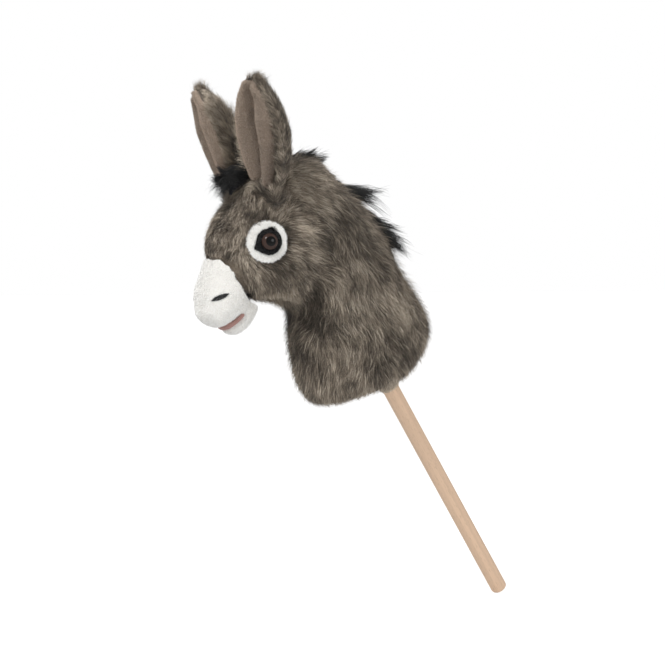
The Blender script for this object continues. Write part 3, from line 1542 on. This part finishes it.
def eye_surround(side, settings, rng):
    """The white plush patch and the black felt round the eye, each with its nap."""
    others = tree_of("head_stuffing")
    eye = eye_place(side)

    def faces_out(points, normals):
        return normals[:, 0] * SIDES[side] > 0.2

    def in_ring(points, normals):
        return faces_out(points, normals) & (away_from(eye, points) > RING_INSIDE)

    def away(points):
        return unit(points - np.array(eye))

    def felt_reach(points):
        short, more = FELT_PILE
        return short + more * ramp(away(points) @ np.array([0, *FELT_TUFT_WAY]), 0.86, 0.96)

    patch = softened(node_bmesh(f"eye_patch_{side}"), 0.0018, 3, -0.0006)
    short_pile(
        f"eye_patch_pile_{side}",
        patch.copy(),
        rng,
        others,
        white_pile(settings),
        "horse",
        "white_plush",
        density=2.6,
        length=0.0034,
        lift=40,
        tint=0.55,
        flow=away,
        keep=in_ring,
    )
    piece = new_piece(f"eye_plush_{side}", patch, white_plush(settings))
    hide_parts(f"eye_patch_{side}")
    felt = softened(node_bmesh(f"eye_felt_{side}"), 0.0009, 3, 0.0004)
    dark = toned(settings.black, 0.4)
    tones = (toned(settings.black, 0.2), dark, settings.black)
    dull = shared("felt_pile", pile_material, *tones, 0.6, 0.9, 0.0, 0.03)
    short_pile(
        f"eye_felt_pile_{side}",
        felt.copy(),
        rng,
        others,
        dull,
        "horse",
        "black_felt",
        density=3.4,
        length=felt_reach,
        lift=30,
        tint=0.4,
        flow=away,
        keep=faces_out,
    )
    material = shared("black_felt", nap_material, dark, 0.4, 0.004, 0.0006, 0.8, 0.95, 0.0, 0.03)
    piece = new_piece(f"eye_black_{side}", felt, material)
    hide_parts(f"eye_felt_{side}")


class HOBBYHORSE_OT_eyes(bpy.types.Operator):
    """Make the eyes, their felt and their plush patches"""

    bl_idname = "hobbyhorse.eyes"
    bl_label = "Eyes"

    def execute(self, context):
        settings = context.scene.hobby_horse
        rng = np.random.default_rng(61)
        washer = plastic_material("washer_plastic", (0.5, 0.5, 0.5), 0.5)
        for side in SIDES:
            eye_piece(side, settings)
            eye_surround(side, settings, rng)
            dress_node(f"eye_washer_{side}", washer)
        return {"FINISHED"}


# Mane and forelock


def hair_material(settings):
    tones = (toned(settings.black, 0.5), settings.black, toned(settings.black, 5))
    return shared("black_pile", pile_material, *tones, 0.6, 0.5, 0.1)


def sunk(points, depth):
    """Points moved into the toy by a depth, and by as much as the pile beside them is rooted deeper."""
    covers = tree_of("neck_cover", "head_cover")
    outward = np.array([covers.find_nearest(Vector(point))[1] for point in points])
    return points - outward * (MM * (spots(points, INSETS) + depth))[:, None]


def hair(node, growth, settings, rng, tree, keep=None):
    """Black pile on one of the two hair pieces, and the backing that it stands in."""
    density, depth = HAIR_DENSITY[node], HAIR_DEPTH[node]
    points, normals = sample_outside(node_bmesh(node), density, rng, tree, keep, 1)
    flow, lengths = growth(points, normals, settings)
    flow = unit(flow + swirl(points, 0.009, 3, 0.8) + rng.normal(0, 0.18, points.shape))
    lengths = lengths * rng.uniform(0.45, 1.15, len(points)) * (1 + swirl(points, 0.004, 4, 0.9)[:, 0])
    lift = HAIR_LIFT * rng.uniform(0.3, 1.4, len(points))
    roots = sunk(points, depth)
    bend = rng.normal(0, 0.35, len(points))
    lines = strand_lines(roots, normals, flow, lengths, lift, 0.1, 4, bend)
    lines, nearest = gather(lines, flow, rng, LOCK_SPACING, density, 0.68)
    tint = 0.5 + rng.normal(0, 0.22, len(points))[nearest] + rng.normal(0, 0.14, len(points))
    width = settings.strand_width * rng.uniform(0.3, 0.75, len(points))
    strands(f"{node}_hair", lines, normals, width, tint, rng, hair_material(settings), "horse", "black_pile")
    core = softened(node_bmesh(node), 0.003, 2, -0.002)
    for vertex, place in zip(core.verts, sunk(places_of(core), depth + BACKING_DEPTH)):
        vertex.co = place
    felt = shared("hair_backing", nap_material, settings.black, 0.3)
    piece = new_piece(f"{node}_backing", core, felt)
    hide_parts(node)


def mane_growth(points, normals, settings):
    """Direction and length of the mane: short under the fur, long in its tufts."""
    local = from_hem(points)
    down = ramp(local[:, 1:2], -175, 15)
    flow = (1 - down) * np.array([0, 1.0, -0.2]) + down * np.array([0, 0.4, -0.9])
    length = np.full(len(points), MANE_SHORT)
    for (y, z), reach, tuft, (back, up) in MANE_TUFTS:
        near = np.exp(-((local[:, 1] - y) ** 2 + (local[:, 2] - z) ** 2) / reach**2)
        length += near * tuft
        flow = flow + near[:, None] * 3.0 * np.array([0, back, up])
    return flow, length * MM


def forelock_growth(points, normals, settings):
    """Direction and length of the forelock, which sticks out forwards between the ears."""
    local = from_hem(points)
    outward = np.clip(local[:, :1] / 8, -1, 1) * np.array([[0.5, 0, 0]])
    flow = np.array([0, -1.0, 0.2]) + outward + normals * 0.1
    middle = np.exp(-(((local[:, 2] - FORELOCK_PLACE[2]) / FORELOCK_REACH) ** 2))
    return flow, settings.forelock_length * (0.5 + 0.5 * middle)


def above_forelock_foot(points, _):
    return points[:, 2] > toy_place(0, 0, FORELOCK_FOOT).z


class HOBBYHORSE_OT_hair(bpy.types.Operator):
    """Grow the black mane and forelock"""

    bl_idname = "hobbyhorse.hair"
    bl_label = "Mane and forelock"

    def execute(self, context):
        settings = context.scene.hobby_horse
        tree = tree_of(*NODES)
        rng = np.random.default_rng(41)
        hair("mane", mane_growth, settings, rng, tree)
        hair("forelock", forelock_growth, settings, rng, tree, above_forelock_foot)
        return {"FINISHED"}


# Pole


def sleeve(settings, rng):
    """The short plush sleeve that closes the neck, drawn in towards the pole at its edge."""
    place = Matrix.Translation(HEM) @ Matrix.Rotation(POLE_TILT, 4, "X")
    turned = turned_shape(SLEEVE_PROFILE, 48, place, closed=True)
    taupe = shared("sleeve_plush", nap_material, settings.velour, 0.15, 0.008, 0.001, 0.6)
    axis = np.array(POLE_AXIS)

    def outside(points, normals):
        up = from_hem(points) @ axis
        radius = np.linalg.norm(from_hem(points) - up[:, None] * axis, axis=1)
        return (radius > FRINGE_RADIUS) & (up < FRINGE_TOP)

    tones = (settings.fur_middle, settings.fur_light, toned(settings.fur_light, 1.4))
    fringe = pile_material("fringe_pile", *tones, 0.85)
    short_pile(
        "sleeve_fringe",
        turned.copy(),
        rng,
        tree_of("pole"),
        fringe,
        "horse",
        "sleeve_plush",
        density=7.0,
        length=FRINGE_LENGTH,
        lift=12,
        tint=0.5,
        flow=tuple(-POLE_AXIS),
        keep=outside,
        stray=0.22,
    )
    piece = new_piece("sleeve", turned, taupe)
    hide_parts("pole_sleeve")


class HOBBYHORSE_OT_pole(bpy.types.Operator):
    """Finish the beech pole, its sleeve and the tie"""

    bl_idname = "hobbyhorse.pole"
    bl_label = "Pole"

    def execute(self, context):
        settings = context.scene.hobby_horse
        dress_node("pole", beech_material(settings.wood))
        sleeve(settings, np.random.default_rng(71))
        dress_node("sleeve_tie", plastic_material("tie_nylon", (0.75, 0.75, 0.75), 0.4))
        return {"FINISHED"}


# Stage


def area_light(name, place, aim, size, power):
    """A round soft lamp that looks at a point."""
    light = bpy.data.lights.new(name, "AREA")
    light.shape = "DISK"
    light.size = size
    light.energy = power
    lamp = bpy.data.objects.new(name, light)
    bpy.context.scene.collection.objects.link(lamp)
    lamp.location = place
    lamp.rotation_euler = (place - aim).to_track_quat("Z", "Y").to_euler()


def view_axes():
    """Right, up and back of the photograph's view."""
    right = Vector((math.cos(VIEW_AZIMUTH), math.sin(VIEW_AZIMUTH), 0))
    level = Vector((math.sin(VIEW_AZIMUTH), -math.cos(VIEW_AZIMUTH), 0)) * math.cos(VIEW_ELEVATION)
    back = level + Vector((0, 0, math.sin(VIEW_ELEVATION)))
    return right, back.cross(right), back


def add_camera(target):
    """The photograph's view, true to its scale at the target."""
    right, up, back = view_axes()
    data = bpy.data.cameras.new("view")
    data.sensor_width = 36
    data.lens = data.sensor_width * VIEW_DISTANCE / (FRAME_PIXELS * METRES_PER_PIXEL)
    camera = bpy.data.objects.new("view", data)
    bpy.context.scene.collection.objects.link(camera)
    turn = Matrix((right, up, back)).transposed().to_4x4()
    camera.matrix_world = Matrix.Translation(target + back * VIEW_DISTANCE) @ turn
    bpy.context.scene.camera = camera


def seen_directly(nodes, links):
    """1 where the camera, a reflection or a clear surface looks at the thing, and 0 where it only lights."""
    path = nodes.new("ShaderNodeLightPath")
    seen = path.outputs["Is Camera Ray"]
    for ray in ("Is Glossy Ray", "Is Transmission Ray"):
        seen = calculation(nodes, links, "MAXIMUM", seen, path.outputs[ray])
    return seen


def add_floor(low):
    """A pale floor that reads white to the camera but keeps the toy's shadow."""
    bm = bmesh.new()
    bmesh.ops.create_grid(bm, x_segments=1, y_segments=1, size=FLOOR_SIZE)
    bmesh.ops.translate(bm, verts=bm.verts, vec=(0, 0, low))
    mesh = bpy.data.meshes.new("floor")
    bm.to_mesh(mesh)
    bm.free()
    floor = bpy.data.objects.new("floor", mesh)
    bpy.context.scene.collection.objects.link(floor)
    made, nodes, links, shader = new_material("floor_paper", 0.9)
    shader.inputs["Base Color"].default_value = (0.9, 0.9, 0.9, 1)
    glow = nodes.new("ShaderNodeEmission")
    strength = calculation(nodes, links, "MULTIPLY", seen_directly(nodes, links), FLOOR_GLOW)
    links.new(strength, glow.inputs["Strength"])
    both = nodes.new("ShaderNodeAddShader")
    links.new(shader.outputs[0], both.inputs[0])
    links.new(glow.outputs[0], both.inputs[1])
    links.new(both.outputs[0], nodes["Material Output"].inputs["Surface"])
    mesh.materials.append(made)


def add_world():
    """Even light from all round, and a white background."""
    world = bpy.data.worlds.new("studio")
    world.use_nodes = True
    nodes, links = world.node_tree.nodes, world.node_tree.links
    plain, white = nodes["Background"], nodes.new("ShaderNodeBackground")
    for background, strength in ((plain, AMBIENT), (white, 1.0)):
        background.inputs["Color"].default_value = (1, 1, 1, 1)
        background.inputs["Strength"].default_value = strength
    mix = nodes.new("ShaderNodeMixShader")
    links.new(seen_directly(nodes, links), mix.inputs[0])
    links.new(plain.outputs[0], mix.inputs[1])
    links.new(white.outputs[0], mix.inputs[2])
    links.new(mix.outputs[0], nodes["World Output"].inputs["Surface"])
    bpy.context.scene.world = world


class HOBBYHORSE_OT_stage(bpy.types.Operator):
    """Set up the floor, the soft light and the camera"""

    bl_idname = "hobbyhorse.stage"
    bl_label = "Stage"

    def execute(self, context):
        right, up, back = view_axes()
        target = HEM + right * VIEW_RIGHT_OF_HEM + up * VIEW_ABOVE_HEM
        add_camera(target)
        add_floor(CAD_BOX[0][2] - FLOOR_GAP)
        add_world()
        key = target + back * 1.3 - right * 0.9 + up * 1.5
        area_light("key", key, target, KEY_SIZE, KEY_POWER)
        fill = target + back * 1.4 + right * 1.2 + up * 0.5
        area_light("fill", fill, target, FILL_SIZE, FILL_POWER)
        context.scene.view_settings.view_transform = "Standard"
        return {"FINISHED"}


OPERATORS = (
    HOBBYHORSE_OT_pole,
    HOBBYHORSE_OT_fur,
    HOBBYHORSE_OT_ears,
    HOBBYHORSE_OT_muzzle,
    HOBBYHORSE_OT_eyes,
    HOBBYHORSE_OT_hair,
    HOBBYHORSE_OT_stage,
)


class HOBBYHORSE_PT_panel(bpy.types.Panel):
    """Lists the steps that dress the toy"""

    bl_idname = "HOBBYHORSE_PT_panel"
    bl_label = "Hobby horse"
    bl_space_type = "VIEW_3D"
    bl_region_type = "UI"
    bl_category = "Hobby horse"

    def draw(self, context):
        settings = context.scene.hobby_horse
        for name in ToySettings.__annotations__:
            self.layout.prop(settings, name)
        for operator in OPERATORS:
            self.layout.operator(operator.bl_idname)


CLASSES = (ToySettings, *OPERATORS, HOBBYHORSE_PT_panel)


def register():
    for made in CLASSES:
        bpy.utils.register_class(made)
    bpy.types.Scene.hobby_horse = PointerProperty(type=ToySettings)


def unregister():
    del bpy.types.Scene.hobby_horse
    for made in reversed(CLASSES):
        bpy.utils.unregister_class(made)


def main():
    register()
    bpy.ops.hobbyhorse.pole()
    bpy.ops.hobbyhorse.fur()
    bpy.ops.hobbyhorse.ears()
    bpy.ops.hobbyhorse.muzzle()
    bpy.ops.hobbyhorse.eyes()
    bpy.ops.hobbyhorse.hair()
    bpy.ops.hobbyhorse.stage()


if __name__ == "__main__":
    main()
